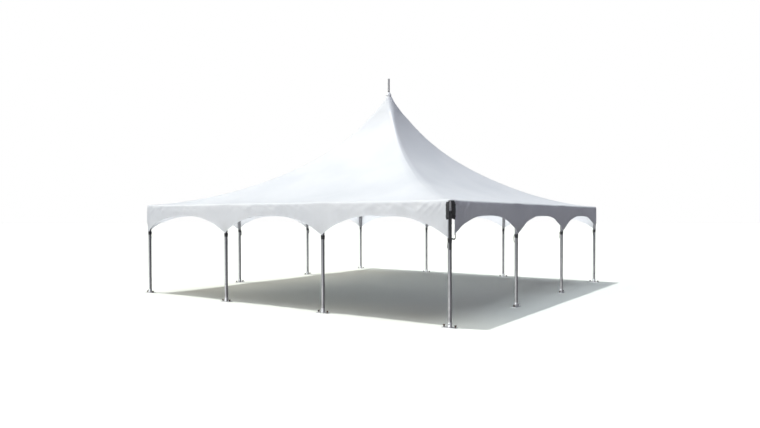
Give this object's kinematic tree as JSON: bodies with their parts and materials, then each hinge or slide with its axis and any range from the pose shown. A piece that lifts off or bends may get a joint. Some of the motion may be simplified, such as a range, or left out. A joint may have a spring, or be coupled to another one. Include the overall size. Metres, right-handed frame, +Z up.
{
  "type": "marquee tent",
  "caption": "Square high-peak frame tent: white roof drawn up to a central mast, scalloped valance with three arches a side, round legs on base plates.",
  "frame": {"origin": "on the ground at the middle of the tent's plan", "axes": "+Z up, -Y the front side seen at the left of the picture, +X the side seen at its right"},
  "size_m": [9.444, 9.284, 6],
  "materials": {
    "canopy": "white coated vinyl cloth, satin",
    "aluminium": "mill-finish aluminium tube, lightly weathered",
    "steel": "zinc-plated steel, dull",
    "cable": "galvanised wire rope",
    "spire": "satin aluminium tube",
    "webbing": "black woven strap",
    "stake": "dark forged steel"
  },
  "bodies": {
    "root": {"leg_front_corner": "aluminium", "base_front_corner": "steel", "leg_front_1": "aluminium", "base_front_1": "steel", "leg_front_2": "aluminium", "base_front_2": "steel", "leg_right_corner": "aluminium", "base_right_corner": "steel", "leg_right_1": "aluminium", "base_right_1": "steel", "leg_right_2": "aluminium", "base_right_2": "steel", "leg_back_corner": "aluminium", "base_back_corner": "steel", "leg_back_1": "aluminium", "base_back_1": "steel", "leg_back_2": "aluminium", "base_back_2": "steel", "leg_left_corner": "aluminium", "base_left_corner": "steel", "leg_left_1": "aluminium", "base_left_1": "steel", "leg_left_2": "aluminium", "base_left_2": "steel", "rail_front": "aluminium", "rail_right": "aluminium", "rail_back": "aluminium", "rail_left": "aluminium", "corner_front_left": "steel", "cable_front_left": "cable", "corner_front_right": "steel", "cable_front_right": "cable", "corner_back_right": "steel", "cable_back_right": "cable", "corner_back_left": "steel", "cable_back_left": "cable", "mast_hub": "steel", "mast": "aluminium", "peak_cap": "steel", "spire": "spire", "canopy_front": "canopy", "valance_front": "canopy", "canopy_right": "canopy", "valance_right": "canopy", "canopy_back": "canopy", "valance_back": "canopy", "canopy_left": "canopy", "valance_left": "canopy"}
  },
  "joints": []
}
